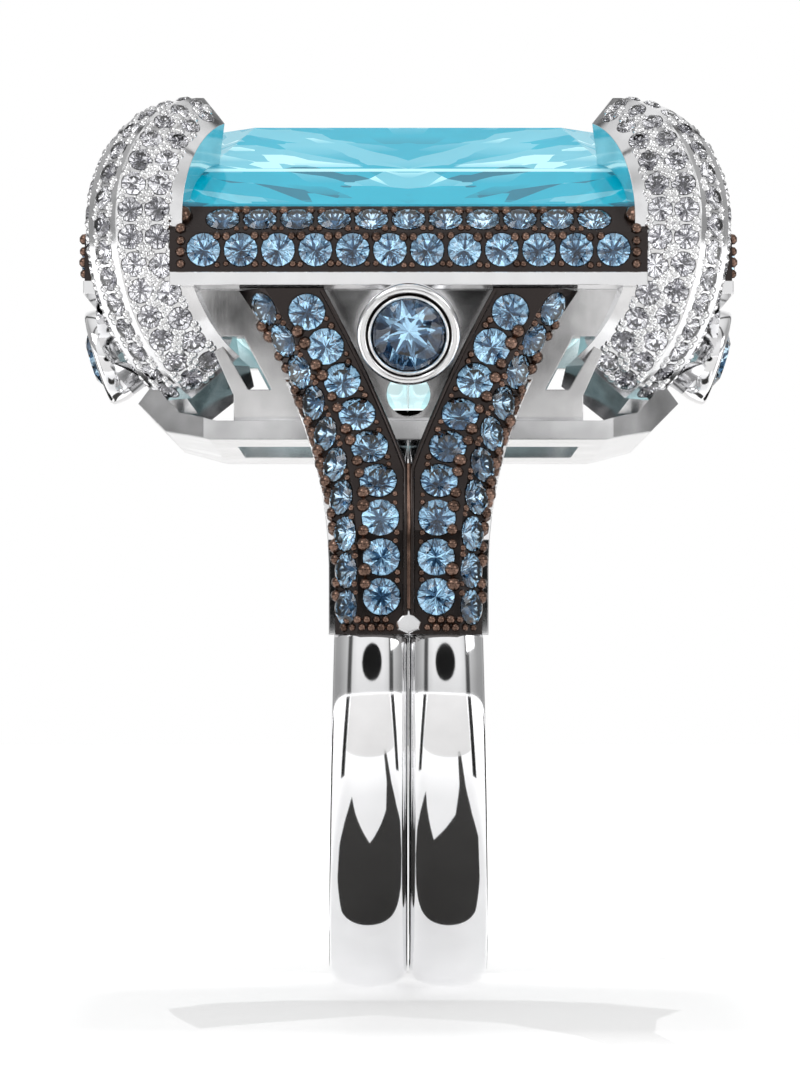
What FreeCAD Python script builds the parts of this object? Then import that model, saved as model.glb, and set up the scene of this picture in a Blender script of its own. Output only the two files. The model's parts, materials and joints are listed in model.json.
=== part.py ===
"""Cocktail ring: a double shank that splits into four stone-set arms, an open gallery with four
bezels, stone-set bars round a large step-cut stone, and four stone-set corner claws.

Millimetres, +Z up. The origin is the centre of the finger hole, whose axis is X; the front is -Y.
Pieces at the front are modelled in place. Those at the back are the same, turned half round Z."""
import FreeCAD, Part
import Sketcher
import math
import os

vec = FreeCAD.Vector
UP = vec(0, 0, 1)

# alias, value, meaning
DIMENSIONS = [
    ("finger_radius", 8.65, "radius of the finger hole"),
    ("crown_radius", 10.6, "outer radius of a band along its crown"),
    ("edge_radius", 9.95, "outer radius of a band along its edges"),
    ("liner_radius", 9.35, "outer radius of a band where the arms sit on it"),
    ("band_gap", 0.03, "half the joint line between the two bands"),
    ("band_foot", 2.8, "half width of the shank at its foot"),
    ("band_top", 2.5, "half width of the shank where the arms begin"),
    ("break_height", 1.85, "height where the plain bands end and the set arms begin"),
    ("arm_front_low", 10.7, "distance of an arm's front face from the middle, at its foot"),
    ("arm_lean", 2.2, "how far an arm leans in as it rises"),
    ("arm_lean_from", 5.0, "height where an arm starts to lean in"),
    ("arm_lean_over", 6.5, "rise over which an arm leans in"),
    ("arm_split", 7.4, "height where the two arms of a side part"),
    ("arm_width_low", 2.46, "outer edge of an arm at its foot"),
    ("arm_flare_from", 4.0, "height where an arm's outer edge starts to flare"),
    ("arm_thick", 1.25, "thickness of an arm, front to back"),
    ("arm_bevel", 0.92, "depth of an arm's outer bevel"),
    ("arm_fold", 0.69, "share of an arm's width where its outer bevel starts"),
    ("arm_flare", 0.036, "bend of an arm's outer edge"),
    ("arm_v_slope", 0.36, "slope of the V between two arms, where it starts"),
    ("arm_v_bend", 0.016, "bend of the V between two arms"),
    ("row_front", 0.36, "share of an arm's width where its front row runs"),
    ("row_front_low", 3.1, "height of the front row's lowest stone"),
    ("row_front_high", 12.8, "height of the front row's highest stone"),
    ("row_side", 0.85, "share of an arm's width where its outer row runs"),
    ("row_side_low", 2.75, "height of the outer row's lowest stone"),
    ("row_side_high", 12.95, "height of the outer row's highest stone"),
    ("arm_high", 13.62, "height where an arm meets its rail"),
    ("shoulder_thick", 0.85, "thickness of the plain shoulder behind an arm"),
    ("shoulder_lip", 0.22, "how far a shoulder shows beside its arm"),
    ("shoulder_high", 10.6, "height of a shoulder"),
    ("tray_low", 8.55, "underside of the gallery tray"),
    ("tray_high", 9.2, "top of the gallery tray"),
    ("tray_half_x", 9.4, "half length of the tray, over its turned-up ends"),
    ("tray_flat_x", 6.8, "half length of the tray's flat part"),
    ("tray_rise", 1.4, "how far the tray's ends turn up"),
    ("tray_half_y", 7.25, "half depth of the tray"),
    ("tray_corner", 2.4, "corner cut of the tray"),
    ("tray_hole_x", 6.0, "half length of the tray's opening"),
    ("tray_hole_y", 3.3, "half depth of the tray's opening"),
    ("wall_thick", 0.8, "thickness of the gallery walls"),
    ("wall_high", 13.7, "top of the gallery walls"),
    ("wall_front_high", 7.3, "distance of a front wall's face from the middle, at its top"),
    ("wall_front_low", 6.6, "the same at its foot"),
    ("wall_end_high", 9.8, "distance of an end wall's face from the middle, at its top"),
    ("wall_end_low", 8.6, "the same at its foot"),
    ("wall_eye", 0.75, "radius of the round window under a side bezel"),
    ("wall_eye_rise", 0.95, "height of the round window's middle above the tray"),
    ("window_from", 1.9, "distance of an end wall's window from the middle, at its foot"),
    ("window_wide", 1.3, "width of an end wall's window"),
    ("window_lean", 0.4, "how far an end wall's window leans out"),
    ("window_low", 11.2, "foot of an end wall's windows"),
    ("window_high", 12.4, "top of an end wall's windows"),
    ("rail_high", 14.14, "top of the plain rails"),
    ("rail_proud", 0.05, "how far a rail stands proud of its bar"),
    ("rail_deep", 1.75, "depth of a rail"),
    ("bar_front", 8.7, "distance of a side bar's face from the middle"),
    ("bar_end", 11.2, "distance of an end bar's face from the middle"),
    ("bar_half_x", 8.1, "half length of a side bar"),
    ("bar_half_y", 5.85, "half length of an end bar"),
    ("bar_step", 15.5, "height where a bar's upright face ends"),
    ("bar_high", 16.5, "top of a bar"),
    ("bar_deep", 1.15, "depth of a bar"),
    ("gem_half_x", 10.0, "half length of the centre stone"),
    ("gem_half_y", 7.5, "half depth of the centre stone"),
    ("gem_corner", 2.0, "corner cut of the centre stone"),
    ("gem_keel", 10.1, "lowest point of the centre stone"),
    ("gem_girdle", 16.45, "height of the centre stone's girdle"),
    ("gem_table", 19.8, "height of the centre stone's table"),
    ("seat_low", 14.2, "underside of the seat frame"),
    ("seat_high", 16.2, "top of the seat frame"),
    ("seat_wide", 1.6, "width of the seat frame"),
    ("bezel_radius", 1.75, "outer radius of a bezel cup"),
    ("bezel_back", 1.2, "radius of a bezel cup at its back"),
    ("bezel_deep", 2.1, "depth of a bezel cup"),
    ("bezel_wall", 0.6, "height of a bezel cup's upright wall"),
    ("bezel_ease", 0.12, "bevel of a bezel's rim"),
    ("bezel_groove", 0.1, "depth of the groove in a bezel's rim"),
    ("bezel_sink", 0.1, "how far a bezel's stone sits below the rim"),
    ("bezel_stone", 1.25, "radius of a bezel's stone"),
    ("bezel_height", 11.95, "height of the bezels"),
    ("bezel_front", 9.35, "distance of a side bezel's face from the middle"),
    ("bezel_end", 11.07, "distance of an end bezel's face from the middle"),
    ("bezel_tilt", 17.0, "how far a bezel faces down, in degrees"),
    ("claw_x", 10.45, "x of a claw's outermost line"),
    ("claw_y", 8.0, "y of a claw's outermost line"),
    ("claw_level", 16.0, "height where a claw stands upright"),
    ("claw_top_radius", 4.6, "radius of a claw's upper curve"),
    ("claw_top_turn", 86.0, "turn of a claw's upper curve, in degrees"),
    ("claw_low_radius", 6.8, "radius of a claw's lower curve"),
    ("claw_low_turn", 61.0, "turn of a claw's lower curve, in degrees"),
    ("claw_flat", 0.7, "half width of a claw's middle facet"),
    ("claw_side", 1.6, "run of a claw's side facets, across and inward"),
    ("claw_deep", 2.4, "depth of a claw"),
    ("claw_taper", 0.38, "share of its width that a claw loses towards its tip"),
    ("claw_back", 1.7, "half width of a claw's back"),
    ("melee_bar", 0.575, "radius of the bars' stones"),
    ("melee_arm", 0.63, "radius of the arms' front stones"),
    ("melee_side", 0.6, "radius of the arms' outer stones"),
    ("melee_claw", 0.42, "radius of the claws' stones, at their widest"),
    ("seat_play", 0.01, "room round a stone in its seat"),
]

doc = FreeCAD.newDocument("cocktail_ring")
sheet = doc.addObject("Spreadsheet::Sheet", "Sizes")
for row, (alias, value, meaning) in enumerate(DIMENSIONS, start=1):
    sheet.set(f"A{row}", meaning)
    sheet.set(f"B{row}", str(value))
    sheet.setAlias(f"B{row}", alias)
doc.recompute()

finished = []


def size(alias):
    """The value of an alias in the sheet."""
    return float(sheet.get(alias))


def finish(part, label):
    """Names a finished sub-part; its label is also its file's name."""
    part.Label = label
    finished.append(part)
    return part


def turned(half_turn):
    """The placement of a piece: as modelled at the front, or turned half round to the back."""
    return FreeCAD.Placement(vec(), FreeCAD.Rotation(UP, 180 if half_turn else 0))


# ---- drawing and solid features ----
def new_body(name, placement=FreeCAD.Placement()):
    body = doc.addObject("PartDesign::Body", name)
    body.Placement = placement
    return body


def new_sketch(body, name, plane):
    sketch = body.newObject("Sketcher::SketchObject", name)
    origin_plane = next(f for f in body.Origin.OriginFeatures if f.Role == plane)
    sketch.AttachmentSupport = [(origin_plane, "")]
    sketch.MapMode = "FlatFace"
    return sketch


def tie(sketch, kind, geometry, point, expression):
    """Ties one coordinate of a point to an expression of the sheet."""
    value = float(sketch.evalExpression(expression))
    if abs(value) < 1e-9:
        axis = -2 if kind == "DistanceX" else -1
        sketch.addConstraint(Sketcher.Constraint("PointOnObject", geometry, point, axis))
        return
    index = sketch.addConstraint(Sketcher.Constraint(kind, -1, 1, geometry, point, value))
    sketch.setExpression(f"Constraints[{index}]", expression)


def draw_outline(sketch, corners):
    """Draws a closed outline. Corners are pairs of sheet expressions."""
    places = [vec(*(float(sketch.evalExpression(e)) for e in corner), 0) for corner in corners]
    count = len(corners)
    first = sketch.GeometryCount
    for k in range(count):
        sketch.addGeometry(Part.LineSegment(places[k], places[(k + 1) % count]))
    for k in range(count):
        sketch.addConstraint(Sketcher.Constraint("Coincident", first + k, 2, first + (k + 1) % count, 1))
        tie(sketch, "DistanceX", first + k, 1, corners[k][0])
        tie(sketch, "DistanceY", first + k, 1, corners[k][1])


def draw_circle(sketch, x, y, radius):
    """Draws a circle at a pair of sheet expressions."""
    place = vec(float(sketch.evalExpression(x)), float(sketch.evalExpression(y)), 0)
    value = float(sketch.evalExpression(radius))
    geometry = sketch.addGeometry(Part.Circle(place, UP, value))
    tie(sketch, "DistanceX", geometry, 3, x)
    tie(sketch, "DistanceY", geometry, 3, y)
    index = sketch.addConstraint(Sketcher.Constraint("Radius", geometry, value))
    sketch.setExpression(f"Constraints[{index}]", radius)


def mirrored(corners):
    """The same corners with the first coordinate's sign turned."""
    return [(f"-({x})", y) for x, y in reversed(corners)]


def pad(body, sketch, length):
    """Pads a sketch both ways from its plane, to a whole length from the sheet."""
    feature = body.newObject("PartDesign::Pad", sketch.Name + "_pad")
    feature.Profile = sketch
    feature.SideType = "Symmetric"
    feature.setExpression("Length", length)


def pocket(body, sketch):
    """Cuts a sketch right through its body, both ways."""
    feature = body.newObject("PartDesign::Pocket", sketch.Name + "_pocket")
    feature.Profile = sketch
    feature.Type = "ThroughAll"
    feature.SideType = "Symmetric"


def revolve(body, sketch, role):
    """Turns a sketch all the way about one of its body's own axes."""
    feature = body.newObject("PartDesign::Revolution", sketch.Name + "_turn")
    feature.Profile = sketch
    feature.ReferenceAxis = (next(f for f in body.Origin.OriginFeatures if f.Role == role), [""])
    return feature


def shaped(name, shape, placement=FreeCAD.Placement()):
    """A piece whose shape comes from lofts or groups of solids."""
    feature = doc.addObject("Part::Feature", name)
    feature.Shape = shape
    feature.Placement = placement
    return feature


def cut(label, base, *tools):
    """The base less each tool in turn, finished under the label."""
    for number, tool in enumerate(tools):
        result = doc.addObject("Part::Cut", f"{label}_cut{number}")
        result.Base = base
        result.Tool = tool
        base = result
    return finish(base, label)


# ---- stones ----
def turned_solid(outline):
    """An outline of (radius, height) turned about Z."""
    points = [vec(x, 0, z) for x, z in outline]
    return Part.Face(Part.makePolygon(points + points[:1])).revolve(vec(), UP, 360)


def round_stone(radius):
    """A brilliant as a turned solid, its girdle at z = 0."""
    table, crown, pavilion, girdle = 0.56 * radius, 0.3 * radius, 0.86 * radius, 0.04 * radius
    return turned_solid([(0, -pavilion), (radius, -girdle), (radius, girdle), (table, crown), (0, crown)])


def stone_seat(radius):
    """What a stone's seat takes away: the stone's underside and the space above it."""
    wide = radius + size("seat_play")
    return turned_solid([(0, -0.88 * wide), (wide, -0.04 * wide), (wide, 0.8), (0, 0.8)])


def stone_group(label, spots, placement=FreeCAD.Placement()):
    """Sets stones at spots of place, outward direction and radius. Returns the cutter for their seats."""
    stones, seats = [], []
    for place, outward, radius in spots:
        where = FreeCAD.Placement(place, FreeCAD.Rotation(UP, outward))
        for group, shape in ((stones, round_stone(radius)), (seats, stone_seat(radius))):
            shape.Placement = where
            group.append(shape)
    finish(shaped(label, Part.makeCompound(stones), placement), label)
    return shaped(label + "_seats", Part.makeCompound(seats), placement)


def octagon(half_x, half_y, corner, z):
    """A level rectangle with cut corners, as a wire."""
    quarter = [(half_x, half_y - corner), (half_x - corner, half_y)]
    ring = quarter + [(-x, y) for x, y in reversed(quarter)]
    ring += [(-x, -y) for x, y in ring]
    points = [vec(x, y, z) for x, y in ring]
    return Part.makePolygon(points + points[:1])


# shares of the half length, the half depth and the corner cut, then the height
GEM_TIERS = [
    (0.27, 0.05, 0.1, "keel"), (0.66, 0.56, 0.65, "below"), (1, 1, 1, "girdle_low"),
    (1, 1, 1, "girdle_high"), (0.86, 0.77, 0.85, "above"), (0.66, 0.47, 0.6, "table"),
]


def centre_stone_shape():
    """A long step cut: two tiers above the girdle, two below, down to a short keel."""
    half_x, half_y, corner = size("gem_half_x"), size("gem_half_y"), size("gem_corner")
    keel, girdle, table = size("gem_keel"), size("gem_girdle"), size("gem_table")
    heights = {
        "keel": keel, "below": keel + 0.47 * (girdle - keel), "girdle_low": girdle - 0.15,
        "girdle_high": girdle + 0.15, "above": girdle + 0.5 * (table - girdle), "table": table,
    }
    wires = [octagon(x * half_x, y * half_y, c * corner, heights[level]) for x, y, c, level in GEM_TIERS]
    return Part.makeLoft(wires, True, True)


gem = finish(shaped("centre_stone", centre_stone_shape()), "centre_stone")


# ---- shank ----
def shank_band(label, half_turn):
    """A half-round band up to the colour break, on a thin liner that goes all the way round."""
    body = new_body(label, turned(half_turn))
    liner = new_sketch(body, label + "_liner", "XZ_Plane")
    draw_outline(liner, [
        ("Sizes.band_gap", "-Sizes.liner_radius"), ("Sizes.band_foot", "-Sizes.liner_radius"),
        ("Sizes.band_foot", "-Sizes.finger_radius"), ("Sizes.band_gap", "-Sizes.finger_radius"),
    ])
    revolve(body, liner, "X_Axis")
    section = new_sketch(body, label + "_section", "XZ_Plane")
    knee = "-(Sizes.edge_radius * 0.44 + Sizes.crown_radius * 0.56)"
    brow = "-(Sizes.crown_radius - 0.06)"
    draw_outline(section, [
        ("Sizes.band_gap", "-Sizes.edge_radius"), ("Sizes.band_foot * 0.13", knee),
        ("Sizes.band_foot * 0.32", brow), ("Sizes.band_foot * 0.5", "-Sizes.crown_radius"),
        ("Sizes.band_foot * 0.68", brow), ("Sizes.band_foot * 0.87", knee),
        ("Sizes.band_foot", "-Sizes.edge_radius"), ("Sizes.band_foot", "-Sizes.finger_radius"),
        ("Sizes.band_gap", "-Sizes.finger_radius"),
    ])
    band = revolve(body, section, "X_Axis")
    band.Midplane = True
    band.setExpression("Angle", "180 deg + 2 * asin(Sizes.break_height / Sizes.crown_radius)")
    taper = new_sketch(body, label + "_taper", "XZ_Plane")
    draw_outline(taper, [
        ("Sizes.band_top", "Sizes.break_height"), ("Sizes.band_foot", "-Sizes.crown_radius"),
        ("Sizes.band_foot + 1", "-Sizes.crown_radius"), ("Sizes.band_foot + 1", "Sizes.crown_radius"),
        ("Sizes.band_top", "Sizes.crown_radius"),
    ])
    pocket(body, taper)
    finish(body, label)


shank_band("shank_band_right", False)
shank_band("shank_band_left", True)


# ---- gallery ----
def gallery_tray():
    """A flat tray with turned-up ends and cut corners, open in the middle and cleared for the shank."""
    body = new_body("gallery_tray_blank")
    side = new_sketch(body, "tray_side", "XZ_Plane")
    low, high, rise = "Sizes.tray_low", "Sizes.tray_high", "Sizes.tray_rise"
    flat, end = "Sizes.tray_flat_x", "Sizes.tray_half_x"
    right = [
        (flat, low), (f"{flat} * 0.4 + {end} * 0.6", f"{low} + 0.25 * {rise}"), (end, f"{low} + {rise}"),
        (f"{end} - 0.55", f"{high} + {rise}"),
        (f"{flat} * 0.5 + {end} * 0.5 - 0.2", f"{high} + 0.25 * {rise}"), (f"{flat} - 0.2", high),
    ]
    draw_outline(side, right + mirrored(right))
    pad(body, side, "2 * Sizes.tray_half_y")
    corners = new_sketch(body, "tray_corners", "XY_Plane")
    x, y, corner = "Sizes.tray_half_x", "Sizes.tray_half_y", "Sizes.tray_corner"
    for sign_x in ("", "-"):
        for sign_y in ("", "-"):
            draw_outline(corners, [
                (f"{sign_x}({x} - {corner})", f"{sign_y}({y} + 0.01)"),
                (f"{sign_x}({x} + 1)", f"{sign_y}({y} + 0.01)"),
                (f"{sign_x}({x} + 1)", f"{sign_y}({y} - {corner})"),
                (f"{sign_x}({x} + 0.01)", f"{sign_y}({y} - {corner})"),
            ])
    pocket(body, corners)
    hole = new_sketch(body, "tray_hole", "XY_Plane")
    hole_x, hole_y = "Sizes.tray_hole_x", "Sizes.tray_hole_y"
    draw_outline(hole, [
        (hole_x, f"-{hole_y}"), (hole_x, hole_y), (f"-{hole_x}", hole_y), (f"-{hole_x}", f"-{hole_y}"),
    ])
    pocket(body, hole)
    return cut("gallery_tray", body, shank_clearance("tray_clearance"))


def shank_clearance(name):
    """A cylinder just outside the shank's liner, along the finger hole."""
    cylinder = doc.addObject("Part::Cylinder", name)
    cylinder.setExpression("Radius", "Sizes.liner_radius + 0.02")
    cylinder.setExpression("Height", "2 * Sizes.band_foot + 0.2")
    cylinder.Placement = FreeCAD.Placement(
        vec(-size("band_foot") - 0.1, 0, 0), FreeCAD.Rotation(UP, vec(1, 0, 0))
    )
    return cylinder


tray = gallery_tray()


def side_wall(label, half_turn):
    """A leaning wall on the tray under a side bar, pierced by two slanting windows and a round one."""
    body = new_body(label, turned(half_turn))
    lean = new_sketch(body, label + "_lean", "YZ_Plane")
    draw_outline(lean, [
        ("-Sizes.wall_front_high", "Sizes.wall_high"), ("-Sizes.wall_front_low", "Sizes.tray_high"),
        ("-Sizes.wall_front_low + Sizes.wall_thick", "Sizes.tray_high"),
        ("-Sizes.wall_front_high + Sizes.wall_thick", "Sizes.wall_high"),
    ])
    pad(body, lean, "2 * (Sizes.bar_half_x - 0.3)")
    trims = new_sketch(body, label + "_openings", "XZ_Plane")
    half, low, high = "Sizes.bar_half_x", "Sizes.tray_high", "Sizes.wall_high"
    end = [
        (f"{half} - 0.5", high), (f"{half} - 2.1", f"{low} + 0.9"), (f"{half} - 2.1", f"{low} - 0.1"),
        (half, f"{low} - 0.1"), (half, high),
    ]
    window = [
        (f"{half} - 1.55", f"{high} - 1.6"), (f"{half} - 2.45", f"{high} - 1.6"),
        (f"{half} - 3.4", f"{low} + 1.1"), (f"{half} - 2.6", f"{low} + 1.1"),
    ]
    for outline in (end, window):
        draw_outline(trims, outline)
        draw_outline(trims, mirrored(outline))
    draw_circle(trims, "0", f"{low} + Sizes.wall_eye_rise", "Sizes.wall_eye")
    pocket(body, trims)
    finish(body, label)


def end_wall(label, half_turn):
    """A leaning wall on the tray's turned-up end under an end bar."""
    body = new_body(label, turned(half_turn))
    lean = new_sketch(body, label + "_lean", "XZ_Plane")
    foot = "Sizes.tray_high + 0.75 * Sizes.tray_rise"
    draw_outline(lean, [
        ("Sizes.wall_end_high", "Sizes.wall_high"), ("Sizes.wall_end_low", foot),
        ("Sizes.wall_end_low - Sizes.wall_thick", foot),
        ("Sizes.wall_end_high - Sizes.wall_thick", "Sizes.wall_high"),
    ])
    pad(body, lean, "2 * (Sizes.bar_half_y - 1.6)")
    window = new_sketch(body, label + "_windows", "YZ_Plane")
    near, far = "Sizes.window_from", "Sizes.window_from + Sizes.window_wide"
    outline = [
        (near, "Sizes.window_low"), (far, "Sizes.window_low"),
        (f"{far} + Sizes.window_lean", "Sizes.window_high"),
        (f"{near} + Sizes.window_lean", "Sizes.window_high"),
    ]
    draw_outline(window, outline)
    draw_outline(window, mirrored(outline))
    pocket(body, window)
    finish(body, label)


side_wall("gallery_wall_front", False)
side_wall("gallery_wall_back", True)
end_wall("gallery_wall_right", False)
end_wall("gallery_wall_left", True)


# ---- rails, stone-set bars and the seat frame ----
def bar_outline(sign, face):
    """The section of a bar above its rail, outward in the first coordinate."""
    inner, outer = f"{sign}({face} - Sizes.bar_deep)", f"{sign}({face})"
    return [
        (inner, "Sizes.rail_high"), (outer, "Sizes.rail_high"), (outer, "Sizes.bar_step"),
        (f"{sign}({face} - Sizes.bar_high + Sizes.bar_step)", "Sizes.bar_high"), (inner, "Sizes.bar_high"),
    ]


def rail(label, half_turn, plane, sign, face, half):
    """The plain strip of metal under a bar."""
    body = new_body(label, turned(half_turn))
    section = new_sketch(body, label + "_section", plane)
    outer = f"{sign}({face} + Sizes.rail_proud)"
    inner = f"{sign}({face} + Sizes.rail_proud - Sizes.rail_deep)"
    draw_outline(section, [
        (inner, "Sizes.wall_high"), (outer, "Sizes.wall_high"), (outer, "Sizes.rail_high"),
        (inner, "Sizes.rail_high"),
    ])
    pad(body, section, f"2 * {half}")
    finish(body, label)


def set_bar(where, half_turn, plane, sign, face, half, along, outward, count):
    """A bar with stones in two rows, on its upright face and on its bevel, and the rail under it."""
    rail(f"rail_{where}", half_turn, plane, sign, f"Sizes.{face}", f"Sizes.{half}")
    body = new_body(f"bar_blank_{where}", turned(half_turn))
    section = new_sketch(body, f"bar_{where}_section", plane)
    draw_outline(section, bar_outline(sign, f"Sizes.{face}"))
    pad(body, section, f"2 * Sizes.{half}")
    pitch = 2 * (size(half) - 1.15) / (count - 1)
    bevel = size("bar_high") - size("bar_step")
    rows = [
        (count, size(face), (size("rail_high") + size("bar_step")) / 2 + 0.08, outward),
        (count - 1, size(face) - bevel / 2, size("bar_step") + bevel / 2, (outward + UP).normalize()),
    ]
    spots = []
    for number, reach, level, normal in rows:
        for k in range(number):
            place = along * (pitch * (k - (number - 1) / 2)) + outward * reach + UP * level
            spots.append((place, normal, size("melee_bar")))
    seats = stone_group(f"bar_stones_{where}", spots, turned(half_turn))
    cut(f"pave_bar_{where}", body, seats)
    return body


EAST = vec(1, 0, 0)
bar_blanks = []
for where, half_turn in (("front", False), ("back", True)):
    bar_blanks.append(set_bar(
        where, half_turn, "YZ_Plane", "-", "bar_front", "bar_half_x", EAST, vec(0, -1, 0), 12,
    ))
for where, half_turn in (("right", False), ("left", True)):
    bar_blanks.append(set_bar(
        where, half_turn, "XZ_Plane", "", "bar_end", "bar_half_y", vec(0, 1, 0), vec(1, 0, 0), 8,
    ))


def seat_frame():
    """The frame inside the bars that carries the centre stone on its sloped edge."""
    x, y = size("gem_half_x"), size("gem_half_y")
    wide, corner = size("seat_wide"), size("gem_corner") + 0.2
    heights = (size("seat_low"), size("seat_high"))
    outer, inner = (
        Part.makeLoft([octagon(x - less, y - less, corner, z) for z in heights], True, True)
        for less in (0.0, wide)
    )
    return shaped("seat_frame_blank", outer.cut(inner))


cut("seat_frame", seat_frame(), gem)


# ---- bezels ----
def bezel(where, facing, reach):
    """A two-step cup turned about its own axis, and its round stone."""
    tilt = math.radians(size("bezel_tilt"))
    direction = vec(*facing) * math.cos(tilt) - UP * math.sin(tilt)
    middle = vec(*facing) * reach + UP * size("bezel_height")
    place = FreeCAD.Placement(middle, FreeCAD.Rotation(UP, direction))
    label = f"bezel_cup_{where}"
    body = new_body(label, place)
    section = new_sketch(body, label + "_section", "XZ_Plane")
    rim, stone = "Sizes.bezel_radius", "Sizes.bezel_stone + Sizes.seat_play"
    ledge = "-Sizes.bezel_sink - 0.05"
    draw_outline(section, [
        ("0", "-Sizes.bezel_deep"), ("Sizes.bezel_back", "-Sizes.bezel_deep"),
        (rim, "-Sizes.bezel_wall"), (rim, "-Sizes.bezel_ease"), (f"{rim} - Sizes.bezel_ease", "0"),
        (f"{rim} - 0.26", "0"), (f"{rim} - 0.32", "-Sizes.bezel_groove"), (f"{rim} - 0.38", "0"),
        (stone, "0"), (stone, ledge), ("0", f"{ledge} - Sizes.bezel_stone * 0.88"),
    ])
    revolve(body, section, "Z_Axis")
    finish(body, label)
    stone_shape = round_stone(size("bezel_stone"))
    stone_shape.translate(vec(0, 0, -size("bezel_sink")))
    finish(shaped(f"bezel_stone_{where}", stone_shape, place), f"bezel_stone_{where}")


BEZELS = {
    "front": ((0, -1, 0), "bezel_front"), "back": ((0, 1, 0), "bezel_front"),
    "left": ((-1, 0, 0), "bezel_end"), "right": ((1, 0, 0), "bezel_end"),
}
for where, (facing, reach) in BEZELS.items():
    bezel(where, facing, size(reach))


# ---- arms and shoulders ----
def arm_front(z):
    """Distance of an arm's front face from the middle: it leans in as it rises."""
    share = min(max((z - size("arm_lean_from")) / size("arm_lean_over"), 0), 1)
    return size("arm_front_low") - size("arm_lean") * share**2 * (3 - 2 * share)


def arm_inner(z):
    """Inner edge of an arm: straight up the middle, then parting in a V."""
    rise = max(z - size("arm_split"), 0)
    return size("band_gap") + size("arm_v_slope") * rise + size("arm_v_bend") * rise**2


def arm_outer(z):
    """Outer edge of an arm: upright, then flaring out to the gallery."""
    return size("arm_width_low") + size("arm_flare") * max(z - size("arm_flare_from"), 0) ** 2


def arm_point(side, z, share):
    """A point on an arm's set surface, by height and by share of the width from its inner edge."""
    fold = size("arm_fold")
    inner, outer = arm_inner(z), arm_outer(z)
    back = size("arm_bevel") * max(share - fold, 0) / (1 - fold)
    return vec(side * (inner + share * (outer - inner)), back - arm_front(z), z)


def arm_normal(side, z, share):
    """The outward direction of an arm's set surface."""
    step = 0.02
    across = arm_point(side, z, share + step) - arm_point(side, z, share - step)
    up = arm_point(side, z + step, share) - arm_point(side, z - step, share)
    return (across.cross(up) * side).normalize()


def levels(low, high, count):
    """Evenly spaced values from low to high."""
    return [low + (high - low) * k / (count - 1) for k in range(count)]


def arm_shape(side):
    """An arm from the colour break to its rail, folded back along its outer bevel."""
    wires = []
    for z in levels(size("break_height"), size("arm_high"), 18):
        face = [arm_point(side, z, share) for share in (0, size("arm_fold"), 1)]
        back = size("arm_thick") - arm_front(z)
        ring = face + [vec(face[2].x, back, z), vec(face[0].x, back, z)]
        wires.append(Part.makePolygon(ring + ring[:1]))
    return Part.makeLoft(wires, True, True)


def shoulder_shape(side):
    """The plain metal behind an arm, a little wider than it."""
    wires = []
    for z in levels(size("break_height"), size("shoulder_high"), 12):
        front = size("arm_thick") - arm_front(z)
        back = front + size("shoulder_thick")
        inner, outer = arm_inner(z), arm_outer(z) + size("shoulder_lip")
        flat = [(inner, front), (outer, front), (outer, back), (inner, back)]
        ring = [vec(side * x, y, z) for x, y in flat]
        wires.append(Part.makePolygon(ring + ring[:1]))
    return Part.makeLoft(wires, True, True)


def arm_row(side, row, count, radius):
    """Stones spaced evenly along a line up an arm."""
    share = size(row)
    heights = levels(size(row + "_low"), size(row + "_high"), 200)
    points = [arm_point(side, z, share) for z in heights]
    run = [0.0]
    for a, b in zip(points, points[1:]):
        run.append(run[-1] + a.distanceToPoint(b))
    spots = []
    for wanted in levels(0, run[-1], count):
        z = heights[min(range(len(run)), key=lambda k: abs(run[k] - wanted))]
        spots.append((arm_point(side, z, share), arm_normal(side, z, share), radius))
    return spots


def arm(facing, hand):
    """A set arm with its stones and the plain shoulder behind it."""
    where = f"{facing}_{hand}"
    half_turn = facing == "back"
    side = (1 if hand == "right" else -1) * (-1 if half_turn else 1)
    spots = arm_row(side, "row_front", 9, size("melee_arm"))
    spots += arm_row(side, "row_side", 10, size("melee_side"))
    seats = stone_group(f"arm_stones_{where}", spots, turned(half_turn))
    cut(f"pave_arm_{where}", shaped(f"arm_blank_{where}", arm_shape(side), turned(half_turn)), seats)
    plain = shaped(f"shoulder_blank_{where}", shoulder_shape(side), turned(half_turn))
    cut(f"shoulder_{where}", plain, shank_clearance(f"shoulder_clearance_{where}"), tray)


for facing in ("front", "back"):
    for hand in ("left", "right"):
        arm(facing, hand)


# ---- corner claws ----
def claw_point(run, across, inward):
    """A point on a claw in its own frame, by run along its outermost line from the upright level."""
    radius = size("claw_top_radius") if run > 0 else size("claw_low_radius")
    turn = run / radius
    return vec(across, (radius - inward) * math.cos(turn) - radius, (radius - inward) * math.sin(turn))


def claw_runs():
    """Run from the upright level down to a claw's foot, and up to its tip."""
    low = math.radians(size("claw_low_turn")) * size("claw_low_radius")
    return -low, math.radians(size("claw_top_turn")) * size("claw_top_radius")


def claw_share(run):
    """Share of a claw's full width at a run: it narrows towards the tip."""
    return 1 - size("claw_taper") * (max(run, 0) / claw_runs()[1]) ** 2


def claw_wire(run, shrink=1.0):
    """A claw's section at a run: flat crown, sloping sides, narrower back. Shrinks about its middle."""
    share = claw_share(run)
    flat, side, deep = share * size("claw_flat"), share * size("claw_side"), size("claw_deep")
    half = [(share * size("claw_back"), deep), (flat + side, side), (flat, 0)]
    ring = [(shrink * x, deep / 2 + shrink * (y - deep / 2)) for x, y in half]
    ring += [(-x, y) for x, y in reversed(ring)]
    points = [claw_point(run, x, y) for x, y in ring]
    return Part.makePolygon(points + points[:1])


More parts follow.
